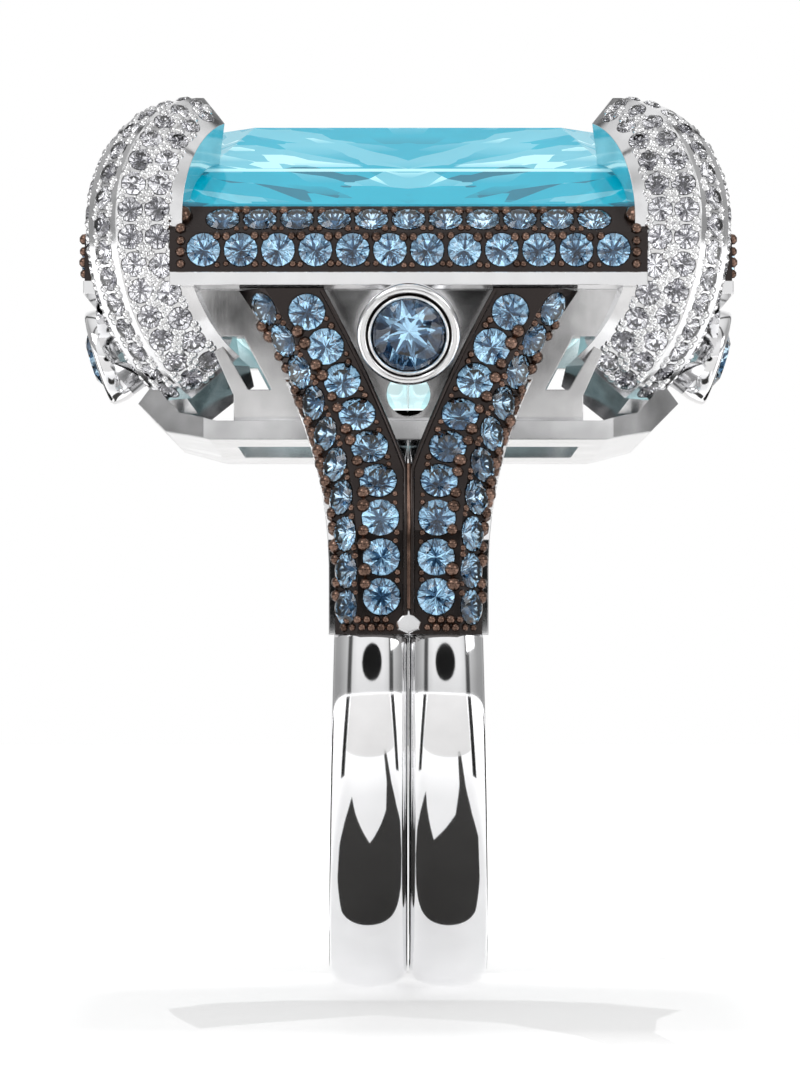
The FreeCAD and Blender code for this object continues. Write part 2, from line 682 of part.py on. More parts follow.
def claw_shape():
    """A claw from foot to tip, with a rounded nose."""
    foot, tip = claw_runs()
    stem = Part.makeLoft([claw_wire(run) for run in levels(foot, tip, 22)], True, False)
    nose_steps = [(0, 1.0), (0.18, 0.93), (0.32, 0.78), (0.4, 0.55)]
    nose = Part.makeLoft([claw_wire(tip + run, shrink) for run, shrink in nose_steps], True, True)
    return stem.fuse(nose)


# side of the claw, share of the side facet where the row runs, number of stones
CLAW_ROWS = [(0, 0, 15), (-1, 0.22, 14), (1, 0.22, 14), (-1, 0.62, 12), (1, 0.62, 12)]


def claw_spot(run, side, slope_share):
    """A stone on a claw: side 0 is up the middle facet, -1 and 1 are on the side facets."""
    share = claw_share(run)
    slope = share * size("claw_side") * slope_share
    across = side * (share * size("claw_flat") + slope)
    lean = side * math.pi / 4
    ahead = claw_point(run + 0.01, 0, 0) - claw_point(run - 0.01, 0, 0)
    out = vec(1, 0, 0).cross(ahead.normalize()) * -1
    outward = vec(math.sin(lean), out.y * math.cos(lean), out.z * math.cos(lean))
    return claw_point(run, across, slope), outward, size("melee_claw") * share


def claw_spots():
    """Five rows of stones over a claw, each row starting a little higher than the one inside it."""
    foot, tip = claw_runs()
    spots = []
    for side, slope_share, count in CLAW_ROWS:
        inset = 0.55 + 0.3 * slope_share
        spots += [claw_spot(run, side, slope_share) for run in levels(foot + inset, tip - inset, count)]
    return spots


def corner_claw(where, sign_x, sign_y):
    """A claw set square across its corner, cleared for what it passes."""
    angle = math.degrees(math.atan2(sign_y, sign_x)) - 90
    place = vec(sign_x * size("claw_x"), sign_y * size("claw_y"), size("claw_level"))
    placement = FreeCAD.Placement(place, FreeCAD.Rotation(UP, angle))
    seats = stone_group(f"claw_stones_{where}", claw_spots(), placement)
    blank = shaped(f"claw_blank_{where}", claw_shape(), placement)
    cut(f"corner_claw_{where}", blank, seats, bars, tray, gem)


bars = doc.addObject("Part::MultiFuse", "all_bars")
rails = [part for part in finished if part.Label.startswith("rail_")]
bars.Shapes = bar_blanks + rails
for facing, sign_y in (("front", -1), ("back", 1)):
    for hand, sign_x in (("left", -1), ("right", 1)):
        corner_claw(f"{facing}_{hand}", sign_x, sign_y)


# ---- check and write ----
doc.recompute()
for obj in doc.Objects:
    bad = {"Invalid", "Error"} & set(obj.State)
    if bad:
        raise RuntimeError(f"{obj.Name} failed: {obj.State}")
os.makedirs("parts", exist_ok=True)
for part in finished:
    if part.Shape.isNull() or not part.Shape.isValid() or part.Shape.Volume <= 0:
        raise RuntimeError(f"{part.Label} has no valid shape")
for part in finished:
    part.Shape.exportStep(f"parts/{part.Label}.step")
print(len(finished), "parts")
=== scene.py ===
"""Cocktail ring: the looks of a split-shank ring with a step-cut aqua stone, built round its CAD frame.

Run as a script. It is laid out as an add-on: each operator makes one piece or group of like pieces.
Lengths are metres; MM turns millimetres into metres. +X is along the finger, -Y the front, +Z up."""
import json
import math

import bmesh
import bpy
import numpy as np
from bpy.props import FloatProperty, FloatVectorProperty, IntProperty, PointerProperty
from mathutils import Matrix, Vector


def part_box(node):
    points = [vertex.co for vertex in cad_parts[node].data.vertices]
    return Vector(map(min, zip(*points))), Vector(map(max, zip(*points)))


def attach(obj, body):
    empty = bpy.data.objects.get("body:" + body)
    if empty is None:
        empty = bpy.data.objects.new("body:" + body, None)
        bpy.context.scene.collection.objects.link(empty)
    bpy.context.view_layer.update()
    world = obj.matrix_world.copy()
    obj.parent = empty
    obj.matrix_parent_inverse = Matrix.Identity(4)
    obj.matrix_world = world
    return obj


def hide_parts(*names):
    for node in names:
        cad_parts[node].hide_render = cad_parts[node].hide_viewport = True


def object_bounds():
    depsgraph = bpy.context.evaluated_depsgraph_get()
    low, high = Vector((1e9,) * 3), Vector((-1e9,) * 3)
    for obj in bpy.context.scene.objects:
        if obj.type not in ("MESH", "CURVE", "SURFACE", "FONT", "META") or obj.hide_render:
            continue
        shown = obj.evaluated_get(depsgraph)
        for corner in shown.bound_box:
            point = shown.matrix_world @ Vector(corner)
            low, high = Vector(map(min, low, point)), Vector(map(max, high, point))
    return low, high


bl_info = {
    "name": "Cocktail ring",
    "version": (1, 0, 0),
    "blender": (4, 5, 0),
    "location": "View3D > Sidebar > Ring",
    "description": "Stones, settings and finishes of a split-shank cocktail ring",
    "category": "Add Mesh",
}

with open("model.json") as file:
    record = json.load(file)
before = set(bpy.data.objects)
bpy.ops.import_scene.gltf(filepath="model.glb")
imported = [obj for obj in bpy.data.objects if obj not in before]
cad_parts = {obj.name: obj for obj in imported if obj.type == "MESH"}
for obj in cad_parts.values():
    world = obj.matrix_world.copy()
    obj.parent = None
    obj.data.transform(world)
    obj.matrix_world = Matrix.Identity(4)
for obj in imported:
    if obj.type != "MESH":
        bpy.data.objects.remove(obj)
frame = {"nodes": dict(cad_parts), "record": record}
CAD_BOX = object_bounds()
MM = 0.001
SIDES = ("front", "back", "left", "right")
CORNERS = ("front_left", "front_right", "back_left", "back_right")
FINGER_RADIUS = frame["record"]["mounts"][0]["dims"]["r_mm"] * MM

# Shank bands: radii of the full band's edge and of the liner's crown and edge, then the half width and
# the height at the colour break.
BAND_EDGE = 9.9 * MM
LINER_CROWN = 9.35 * MM
LINER_EDGE = 9.3 * MM
BREAK_HALF_WIDTH = 2.5 * MM
BREAK_HEIGHT = 1.85 * MM

# An arm's face, in mm: its distance from the middle at the foot, how far it leans in, the height where
# the lean starts, and the height over which it leans. Two arms part at the crotch.
ARM_FRONT = 10.7
ARM_LEAN = 2.2
LEAN_FROM = 5.0
LEAN_HEIGHT = 6.5
CROTCH = 7.4


# ---- sizes and colours that a user would change ----
def length(name, description, default):
    """A size in metres."""
    return FloatProperty(name=name, description=description, default=default, unit="LENGTH", precision=6)


def colour(name, description, default):
    """A colour."""
    return FloatVectorProperty(
        name=name, description=description, default=default, subtype="COLOR", size=3, min=0, max=1
    )


class RingSizes(bpy.types.PropertyGroup):
    bead: length("Bead radius", "Radius of the large metal beads that hold the dark-set stones", 0.21 * MM)
    claw_bead: length("Claw bead radius", "Radius of the beads between the claws' stones", 0.17 * MM)
    rim: length("Arm rim radius", "Radius of the fine raised line along an arm's inner edge", 0.085 * MM)
    edge: length("Edge rounding", "Radius of the polished metal's rounded edges", 0.06 * MM)
    band_steps: IntProperty(name="Band steps", description="Steps round a shank band", default=240, min=24)
    lens: FloatProperty(name="Lens", description="Focal length of the camera", default=130.9, unit="CAMERA")


class RingColours(bpy.types.PropertyGroup):
    silver: colour("Silver", "Polished silver", (0.93, 0.93, 0.94))
    rhodium: colour("Black rhodium", "Dark plating of the arms and bars", (0.05, 0.042, 0.04))
    rhodium_bead: colour("Rhodium bead", "Copper-brown beads in the dark plating", (0.27, 0.17, 0.13))
    aqua: colour("Aqua", "The centre stone", (0.0, 0.37, 0.52))
    # Light and dark aqua are painted light and painted shade: the centre stone's glints and its dark facets.
    aqua_light: colour("Light aqua", "Bright glints in the centre stone", (0.5, 0.88, 0.94))
    aqua_dark: colour("Dark aqua", "Dark facets in the centre stone", (0.0, 0.15, 0.23))
    # Light and dark blue and the white stones' bright colour are painted light and painted shade of their
    # facets.
    blue_light: colour("Light blue", "Bright facets of the blue stones", (0.64, 0.79, 0.89))
    blue_dark: colour("Dark blue", "Dark facets of the blue stones", (0.045, 0.09, 0.15))
    white: colour("White stone", "Bright facets of the white stones", (0.95, 0.95, 0.97))
    floor: colour("Floor", "The pale floor", (0.9, 0.9, 0.9))


def sizes():
    """The sizes as set in the scene."""
    return bpy.context.scene.ring_sizes


def colours():
    """The colours as set in the scene."""
    return bpy.context.scene.ring_colours


# ---- meshes from arrays ----
def new_piece(name, points, faces, material, smooth=None, materials=(), face_material=None):
    """A mesh object from an array of points and lists of faces, riding on the ring.

    Points are held inside the CAD box, so that no bead or band stands out beyond it."""
    low, high = (np.array(corner) for corner in CAD_BOX)
    points = np.clip(np.asarray(points, float), low, high)
    mesh = bpy.data.meshes.new(name)
    mesh.from_pydata(points.tolist(), [], [list(map(int, face)) for face in faces])
    mesh.materials.append(material)
    for extra in materials:
        mesh.materials.append(extra)
    if face_material is not None:
        mesh.polygons.foreach_set("material_index", np.asarray(face_material, dtype=np.int32))
    if smooth is not None:
        mesh.shade_smooth()
        mesh.set_sharp_from_angle(angle=math.radians(smooth))
    mesh.update()
    piece = bpy.data.objects.new(name, mesh)
    bpy.context.scene.collection.objects.link(piece)
    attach(piece, "root")
    return piece


def ring_faces(rings, steps, closed=False):
    """Four-sided faces between neighbouring rings of points, and from the last to the first if closed."""
    i, j = np.meshgrid(np.arange(rings if closed else rings - 1), np.arange(steps), indexing="ij")
    a, b, j2 = i * steps, (i + 1) % rings * steps, (j + 1) % steps
    return np.stack([a + j, a + j2, b + j2, b + j], axis=-1).reshape(-1, 4).tolist()


def axes_of(normals):
    """Two unit vectors square to each normal, as arrays."""
    normals = np.asarray(normals, float)
    helper = np.where(np.abs(normals[:, 2:3]) > 0.9, [[1.0, 0, 0]], [[0, 0, 1.0]])
    first = np.cross(helper, normals)
    first /= np.linalg.norm(first, axis=1, keepdims=True)
    return first, np.cross(normals, first)


def copies(shape, faces, centres, firsts, seconds, normals, scales):
    """Points and faces of many copies of a shape: each point is centre + scale x (its frame x point)."""
    frames = np.stack([firsts, seconds, normals], axis=1)
    points = centres[:, None, :] + scales[:, None, None] * np.einsum("pk,nkc->npc", shape, frames)
    count = len(shape)
    all_faces = [[v + k * count for v in face] for k in range(len(centres)) for face in faces]
    return points.reshape(-1, 3), all_faces


def turned_surface(profile, steps):
    """A closed surface turned about Z: the outline (radius, height) from pole to pole, radius 0 at both."""
    profile = np.asarray(profile, float)
    angle = np.linspace(0, 2 * np.pi, steps, endpoint=False)
    ring = profile[1:-1]
    points = np.stack([
        ring[:, 0, None] * np.cos(angle), ring[:, 0, None] * np.sin(angle),
        np.repeat(ring[:, 1, None], steps, axis=1),
    ], axis=-1).reshape(-1, 3)
    points = np.vstack([points, [[0, 0, profile[0, 1]], [0, 0, profile[-1, 1]]]])
    low, high = len(points) - 2, len(points) - 1
    j = np.arange(steps)
    j2 = (j + 1) % steps
    top = (len(ring) - 1) * steps
    faces = ring_faces(len(ring), steps)
    faces += np.stack([np.full(steps, low), j2, j], axis=1).tolist()
    faces += np.stack([np.full(steps, high), top + j, top + j2], axis=1).tolist()
    return points, faces


# ---- where the stones are: read from the frame ----
def node_triangles(node):
    """Corner points of a CAD node's triangles, as an array of n x 3 x 3."""
    mesh = frame["nodes"][node].data
    mesh.calc_loop_triangles()
    points = np.zeros(len(mesh.vertices) * 3, np.float32)
    mesh.vertices.foreach_get("co", points)
    corners = np.zeros(len(mesh.loop_triangles) * 3, np.int32)
    mesh.loop_triangles.foreach_get("vertices", corners)
    return points.reshape(-1, 3)[corners.reshape(-1, 3)].astype(float)


def stone_spots(node):
    """Centre, outward normal and radius of each stone in a node: its table is the largest flat face.

    Stones are told apart by spreading the lowest corner number through triangles that share a corner."""
    same_place, level = 0.0005 * MM, 0.9995
    triangles = node_triangles(node)
    keys = np.round(triangles.reshape(-1, 3) / same_place).astype(np.int64)
    _, corner = np.unique(keys, axis=0, return_inverse=True)
    corner = corner.reshape(-1, 3)
    label = np.arange(corner.max() + 1)
    while True:
        lowest = label[corner].min(axis=1)
        new = label.copy()
        np.minimum.at(new, corner, lowest[:, None])
        if (new == label).all():
            break
        label = new
    island = label[corner[:, 0]]
    centres, normals, radii = [], [], []
    for mark in np.unique(island):
        part = triangles[island == mark]
        cross = np.cross(part[:, 1] - part[:, 0], part[:, 2] - part[:, 0])
        area = np.linalg.norm(cross, axis=1)
        unit = cross / np.maximum(area, 1e-18)[:, None]
        flat = (unit @ unit.T > level) @ area
        table = unit @ unit[flat.argmax()] > level
        normal = (unit[table] * area[table, None]).sum(axis=0)
        normal /= np.linalg.norm(normal)
        middle = (part[table].mean(axis=1) * area[table, None]).sum(axis=0) / area[table].sum()
        away = part.reshape(-1, 3) - middle
        radius = np.linalg.norm(away - (away @ normal)[:, None] * normal, axis=1).max()
        centres.append(middle - normal * 0.3 * radius)
        normals.append(normal)
        radii.append(radius)
    return np.array(centres), np.array(normals), np.array(radii)


# ---- materials ----
def new_material(name, **values):
    """A Principled material with the given socket values, and its node tree."""
    material = bpy.data.materials.new(name)
    material.use_nodes = True
    tree = material.node_tree
    shader = tree.nodes["Principled BSDF"]
    for key, value in values.items():
        socket = shader.inputs[key.replace("_", " ")]
        socket.default_value = (*value, 1.0) if socket.type == "RGBA" and len(value) == 3 else value
    return material, tree, shader


def node(tree, kind, **settings):
    """A new node with the given socket values and settings."""
    made = tree.nodes.new(kind)
    for key, value in settings.items():
        if key in made.inputs:
            made.inputs[key].default_value = value
        else:
            setattr(made, key, value)
    return made


def noise(tree, scale, detail=3.0, stretch=None):
    """Noise on Object coordinates, in waves per metre."""
    place = node(tree, "ShaderNodeTexCoord")
    texture = node(tree, "ShaderNodeTexNoise", Scale=scale, Detail=detail)
    source = place.outputs["Object"]
    if stretch:
        mapping = node(tree, "ShaderNodeMapping")
        mapping.inputs["Scale"].default_value = stretch
        tree.links.new(source, mapping.inputs["Vector"])
        source = mapping.outputs["Vector"]
    tree.links.new(source, texture.inputs["Vector"])
    return texture


def colour_ramp(tree, source, stops):
    """Maps a value onto colours through stops of (position, colour), where a plain number is a grey."""
    made = node(tree, "ShaderNodeValToRGB")
    elements = made.color_ramp.elements
    while len(elements) < len(stops):
        elements.new(0.5)
    for element, (position, value) in zip(elements, stops):
        element.position = position
        element.color = (*([value] * 3 if isinstance(value, float) else value), 1)
    tree.links.new(source, made.inputs["Fac"])
    return made.outputs["Color"]


def ramp(tree, source, low, high, start=0.0, end=1.0):
    """Maps a value onto a range between two numbers or two colours."""
    if isinstance(low, tuple):
        return colour_ramp(tree, source, [(start, low), (end, high)])
    made = node(tree, "ShaderNodeMapRange")
    for key, value in (("From Min", start), ("From Max", end), ("To Min", low), ("To Max", high)):
        made.inputs[key].default_value = value
    tree.links.new(source, made.inputs["Value"])
    return made.outputs["Result"]


def metal(name, tint, roughness, wear, rounding, depth=0.93, waves=900.0):
    """Polished metal: rounded edges, faint polishing marks, slightly uneven gloss and tint.

    The depth is the darkest tint as a share of the full one, and the waves per metre set its pattern. A low
    depth with long waves, as on the gallery, paints broad dark patches: painted reflections."""
    material, tree, shader = new_material(name, Metallic=1.0, Roughness=roughness)
    cloud = noise(tree, waves)
    darker = tuple(c * depth for c in tint)
    tone = ramp(tree, cloud.outputs["Fac"], darker, tuple(tint), 0.3, 0.7)
    gloss = ramp(tree, cloud.outputs["Fac"], roughness * 0.7, roughness * 1.5, 0.3, 0.7)
    tree.links.new(tone, shader.inputs["Base Color"])
    tree.links.new(gloss, shader.inputs["Roughness"])
    marks = noise(tree, 3000.0, 2.0, (1.0, 0.25, 0.25))
    bevel = node(tree, "ShaderNodeBevel", samples=4, Radius=rounding)
    bump = node(tree, "ShaderNodeBump", Strength=wear, Distance=0.01 * MM)
    tree.links.new(marks.outputs["Fac"], bump.inputs["Height"])
    tree.links.new(bevel.outputs["Normal"], bump.inputs["Normal"])
    tree.links.new(bump.outputs["Normal"], shader.inputs["Normal"])
    return material


def facet_material(name, light, dark, glow=0.0):
    """The backs of a stone's facets, bright or dark by facet: painted light and painted shade for the light
    that comes back from them, with an optional painted glow.
    """
    material, tree, shader = new_material(name, Metallic=1.0, Roughness=0.04, Emission_Strength=glow)
    share = node(tree, "ShaderNodeAttribute", attribute_name="facet")
    tint = ramp(tree, share.outputs["Fac"], tuple(dark), tuple(light), 0.1, 0.75)
    tree.links.new(tint, shader.inputs["Base Color"])
    tree.links.new(tint, shader.inputs["Emission Color"])
    return material


def maths(tree, operation, *sources):
    """A maths node fed by sockets or plain numbers."""
    made = node(tree, "ShaderNodeMath", operation=operation)
    for number, source in enumerate(sources):
        if isinstance(source, (int, float)):
            made.inputs[number].default_value = source
        else:
            tree.links.new(source, made.inputs[number])
    return made.outputs[0]


def split_axes(tree, space):
    """The X, Y and Z of a texture coordinate, as sockets."""
    place = node(tree, "ShaderNodeTexCoord")
    split = node(tree, "ShaderNodeSeparateXYZ")
    tree.links.new(place.outputs[space], split.inputs["Vector"])
    return split.outputs


def multiplied(tree, first, second):
    """One colour multiplied by another."""
    made = node(tree, "ShaderNodeMix", data_type="RGBA", blend_type="MULTIPLY")
    made.inputs["Factor"].default_value = 1.0
    tree.links.new(first, made.inputs["A"])
    tree.links.new(second, made.inputs["B"])
    return made.outputs["Result"]


def step_cells(tree, axes, half_x, half_y, counts, seed):
    """Random values in cells that run along the sides of a step cut, alike in all four quarters.

    Cells are laid in steps from the middle to the nearest side, along that side, and in height. The
    counts are cells from the middle to a side, along half a side, and per mm of height."""
    across = maths(tree, "ABSOLUTE", axes["X"])
    deep = maths(tree, "ABSOLUTE", axes["Y"])
    beyond = maths(tree, "SUBTRACT", across, half_x - half_y)
    step = maths(tree, "MULTIPLY", maths(tree, "MAXIMUM", beyond, deep), counts[0] / half_y)
    along = maths(tree, "MULTIPLY", maths(tree, "ADD", across, deep), counts[1] / half_y)
    height = maths(tree, "MULTIPLY", axes["Z"], counts[2] / MM)
    slanted = maths(tree, "ADD", along, maths(tree, "MULTIPLY", step, 0.35 * seed))
    joined = node(tree, "ShaderNodeCombineXYZ")
    tree.links.new(maths(tree, "ADD", step, float(seed)), joined.inputs["X"])
    tree.links.new(slanted, joined.inputs["Y"])
    tree.links.new(height, joined.inputs["Z"])
    texture = node(tree, "ShaderNodeTexVoronoi", distance="MANHATTAN", Scale=1.0, Randomness=0.75)
    tree.links.new(joined.outputs["Vector"], texture.inputs["Vector"])
    colour_split = node(tree, "ShaderNodeSeparateColor")
    tree.links.new(texture.outputs["Color"], colour_split.inputs["Color"])
    return colour_split.outputs["Red"]


def step_cut_material(name, dark, middle, light):
    """A clear stone as it looks from the front, its colour painted light: painted reflections of long glints
    and dark steps seen through its polished face, and a faint painted glow.
    """
    material, tree, shader = new_material(
        name, Roughness=0.02, IOR=1.6, Transmission_Weight=0.2, Coat_Weight=0.3, Coat_Roughness=0.01,
        Emission_Strength=0.12,
    )
    half_x, half_y = 10 * MM, 7.5 * MM
    girdle, table, tier_edge, line_half_width = 16.4 * MM, 19.8 * MM, 17.98 * MM, 0.06 * MM
    axes = split_axes(tree, "Object")
    # Cells of random brightness: painted reflections of the steps and slanted facets.
    steps = step_cells(tree, axes, half_x, half_y, (9.0, 2.4, 1.1), 1)
    slants = step_cells(tree, axes, half_x, half_y, (5.0, 5.5, 0.5), 3)
    # Paler towards the table: painted light on the upper steps.
    rise = ramp(tree, axes["Z"], -0.14, 0.24, girdle, table)
    near = maths(tree, "MULTIPLY_ADD", steps, 0.62, rise)
    cells = maths(tree, "ADD", near, maths(tree, "MULTIPLY", slants, 0.38))
    # A thin bright line round the tier edge: a painted highlight.
    painted_edge_highlight = maths(tree, "COMPARE", axes["Z"], tier_edge, line_half_width)
    pale = tuple(0.72 * m + 0.28 * g for m, g in zip(middle, light))
    tint = colour_ramp(tree, maths(tree, "MAXIMUM", cells, painted_edge_highlight), [
        (0.0, dark), (0.22, dark), (0.3, middle), (0.6, middle), (0.68, pale), (0.93, pale), (0.97, light),
    ])
    # The painted colour is also the emission colour: a faint painted glow from inside the stone.
    tree.links.new(tint, shader.inputs["Base Color"])
    tree.links.new(tint, shader.inputs["Emission Color"])
    return material


def glass_material(name, tint, ior):
    """The clear front of a stone, with the faintest uneven polish."""
    material, tree, shader = new_material(
        name, Base_Color=tuple(tint), Transmission_Weight=1.0, IOR=ior, Roughness=0.0
    )
    cloud = noise(tree, 2500.0)
    tree.links.new(ramp(tree, cloud.outputs["Fac"], 0.0, 0.02, 0.4, 0.8), shader.inputs["Roughness"])
    return material


MATERIALS = {}


def make_materials():
    """Every finish of the ring, by name."""
    c, s = colours(), sizes()
    MATERIALS["silver"] = metal("polished_silver", c.silver, 0.05, 0.05, s.edge)
    MATERIALS["set_silver"] = metal("set_silver", c.silver, 0.12, 0.15, s.edge * 0.5, 0.8)
    # Broad dark patches in this silver's tint are painted dark reflections.
    MATERIALS["gallery_silver"] = metal("gallery_silver", c.silver, 0.14, 0.1, s.edge, 0.42, 330.0)
    MATERIALS["rhodium"] = metal("black_rhodium", c.rhodium, 0.22, 0.4, s.edge * 0.5)
    MATERIALS["rhodium_bead"] = metal("rhodium_bead", c.rhodium_bead, 0.16, 0.2, 0.01 * MM, 0.3, 1500.0)
    # Facet backs, light or dark by facet: painted light and painted shade, the white stones' dark facets
    # included.
    MATERIALS["blue_back"] = facet_material("blue_facets", c.blue_light, c.blue_dark)
    MATERIALS["white_back"] = facet_material("white_facets", c.white, (0.16, 0.16, 0.18))
    MATERIALS["blue_front"] = glass_material("blue_glass", (0.85, 0.94, 1.0), 1.7)
    MATERIALS["white_front"] = glass_material("white_glass", (1.0, 1.0, 1.0), 1.9)
    MATERIALS["aqua_front"] = step_cut_material("aqua_glass", c.aqua_dark, c.aqua, c.aqua_light)
    # The centre stone's back is pale and glows: painted light, as the stone looks from below and through the
    # gallery's windows.
    MATERIALS["aqua_back"] = facet_material("aqua_facets", (0.8, 0.95, 0.96), (0.5, 0.8, 0.84), glow=0.45)


def dress(nodes, material):
    """Gives CAD nodes a finish."""
    for name in nodes:
        slots = frame["nodes"][name].data.materials
        slots.clear()
        slots.append(MATERIALS[material])


# ---- stones ----
def brilliant():
    """A round brilliant of radius 1, girdle at height 0: table, stars, kites, upper and lower halves, mains.

    Rings of 8 (table), 8 (star points), 16 (girdle), 8 (pavilion) points and the culet."""
    eight = np.arange(8) * np.pi / 4
    sixteen = np.arange(16) * np.pi / 8

    def ring(angles, radius, height):
        level = np.full(len(angles), height)
        return np.stack([radius * np.cos(angles), radius * np.sin(angles), level], axis=1)

    points = np.vstack([
        ring(eight, 0.56, 0.3), ring(eight + np.pi / 8, 0.76, 0.19), ring(sixteen, 0.985, 0.02),
        ring(eight + np.pi / 8, 0.28, -0.58), [[0, 0, -0.84]],
    ])
    table, star, girdle, low, culet = 0, 8, 16, 32, 40
    crown = [list(range(8))]
    back = []
    for k in range(8):
        n = (k + 1) % 8
        g = 2 * k
        before, middle, after = girdle + g, girdle + g + 1, girdle + (g + 2) % 16
        crown.append([table + n, table + k, star + k])
        crown.append([table + k, star + (k - 1) % 8, before, star + k])
        crown.append([star + k, before, middle])
        crown.append([star + k, middle, after])
        back.append([low + k, middle, before])
        back.append([low + k, after, middle])
        back.append([culet, low + k, after, low + n])
    return points, crown, back


def stone_piece(name, spots, front, back, seed, fan=False):
    """A group of faceted stones: glass crowns over backs that carry a painted brightness for each facet,
    painted light and shade.

    A fan has a painted dark rim round pale main facets, palest at the top: painted shade and painted light."""
    centres, normals, radii = spots
    shape, crown, behind = brilliant()
    faces = crown + behind
    random = np.random.default_rng(seed)
    firsts, seconds = axes_of(normals)
    spin = random.uniform(0, 2 * np.pi, len(centres))[:, None]
    firsts, seconds = (
        firsts * np.cos(spin) + seconds * np.sin(spin), seconds * np.cos(spin) - firsts * np.sin(spin),
    )
    points, all_faces = copies(shape, faces, centres, firsts, seconds, normals, radii)
    which = np.tile(np.r_[np.zeros(len(crown), int), np.ones(len(behind), int)], len(centres))
    piece = new_piece(
        name, points, all_faces, MATERIALS[front], materials=[MATERIALS[back]], face_material=which
    )
    # Random brightness by facet, main facets mostly very dark or very bright: painted light and painted
    # shade.
    brightness = random.uniform(0.35, 1.0, len(all_faces))
    main = np.tile([len(face) == 4 for face in faces], len(centres)) & (which == 1)
    brightness[main] = random.choice([0.0, 0.15, 0.9], len(all_faces), p=[0.4, 0.25, 0.35])[main]
    if fan:
        middles = np.array([np.mean(points[face], axis=0) for face in all_faces])
        up = (middles - centres[0])[:, 2] / radii[0]
        rim = random.uniform(0.0, 0.3, len(all_faces))
        brightness = np.where(main, np.where(up > 0, 0.95, 0.55 - 0.8 * up), rim)
        brightness[main] *= random.choice([0.5, 1.0], main.sum(), p=[0.15, 0.85])
    bright_facets(piece, brightness)
    return piece


def bright_facets(piece, brightness):
    """Stores a brightness for each face, read by the facet materials."""
    layer = piece.data.attributes.new("facet", "FLOAT", "FACE")
    layer.data.foreach_set("value", np.asarray(brightness, dtype=np.float32))


def bead_shape():
    """A low dome of radius 1: three rings of eight and a top point."""
    height = np.array([-0.5, 0.2, 0.75])
    radius = np.sqrt(1 - height**2)
    outline = np.vstack([[[0, -0.8]], np.stack([radius, height], axis=1), [[0, 1.0]]])
    return turned_surface(outline, 8)


REACH = 2.75


def row_gaps(spots, guide):
    """Midpoints between neighbours in a row, with the normal, the way along, the way across and a radius.

    Neighbours are nearer than REACH radii and face nearly the same way. The guide is a direction, or
    "outward" for away from the middle in X, and the way across leans to it."""
    centres, normals, radii = spots
    apart = np.linalg.norm(centres[:, None] - centres[None], axis=2)
    near = (apart < REACH * radii[:, None]) & (normals @ normals.T > 0.86)
    first, second = np.nonzero(np.triu(near, 1))
    middle = (centres[first] + centres[second]) / 2
    normal = normals[first] + normals[second]
    normal /= np.linalg.norm(normal, axis=1, keepdims=True)
    along = centres[second] - centres[first]
    along /= np.linalg.norm(along, axis=1, keepdims=True)
    across = np.cross(normal, along)
    if isinstance(guide, str):
        guide = np.stack([np.sign(middle[:, 0]), 0 * middle[:, 0], 0 * middle[:, 0]], axis=1)
    across *= np.where((across * guide).sum(axis=1) < 0, -1, 1)[:, None]
    return middle, normal, along, across, radii[first]


def bead_piece(name, node_name, material, guide, pattern, seed):
    """Beads round each gap between neighbouring stones.

    A pattern is a list of (across, along, radius): a place in stone radii from the gap's middle, and a
    bead radius in metres. Each bead is moved and sized a little at random, and sunk into the metal."""
    random = np.random.default_rng(seed)
    middle, normal, along, across, stone = row_gaps(stone_spots(node_name), guide)
    places, normals, scales = [], [], []
    for share_across, share_along, radius in pattern:
        wander = random.uniform(-0.06, 0.06, (2, len(middle)))
        step = (share_across + wander[0])[:, None] * across + (share_along + wander[1])[:, None] * along
        sunk = 0.2 * radius * normal
        places.append(middle + step * stone[:, None] - sunk)
        normals.append(normal)
        scales.append(radius * random.uniform(0.85, 1.15, len(middle)))
    places, normals, scales = np.vstack(places), np.vstack(normals), np.concatenate(scales)
    firsts, seconds = axes_of(normals)
    shape, faces = bead_shape()
    points, all_faces = copies(shape, faces, places, firsts, seconds, normals, scales)
    return new_piece(name, points, all_faces, MATERIALS[material], smooth=80)


def tube(path, radius, sides=10):
    """A round tube along a path: a ring's points are path + radius (cos, sin) in the plane square to it."""
    path = np.asarray(path, float)
    ahead = np.gradient(path, axis=0)
    ahead /= np.linalg.norm(ahead, axis=1, keepdims=True)
    first = np.cross(ahead, [[0.0, 1.0, 0.0]])
    first /= np.linalg.norm(first, axis=1, keepdims=True)
    second = np.cross(ahead, first)
    turn = np.linspace(0, 2 * np.pi, sides, endpoint=False)
    ring = np.cos(turn)[None, :, None] * first[:, None] + np.sin(turn)[None, :, None] * second[:, None]
    points = path[:, None] + radius * ring
    j = np.arange(sides)
    last = (len(path) - 1) * sides
    caps = [j[::-1].tolist(), (last + j).tolist()]
    return points.reshape(-1, 3), ring_faces(len(path), sides) + caps


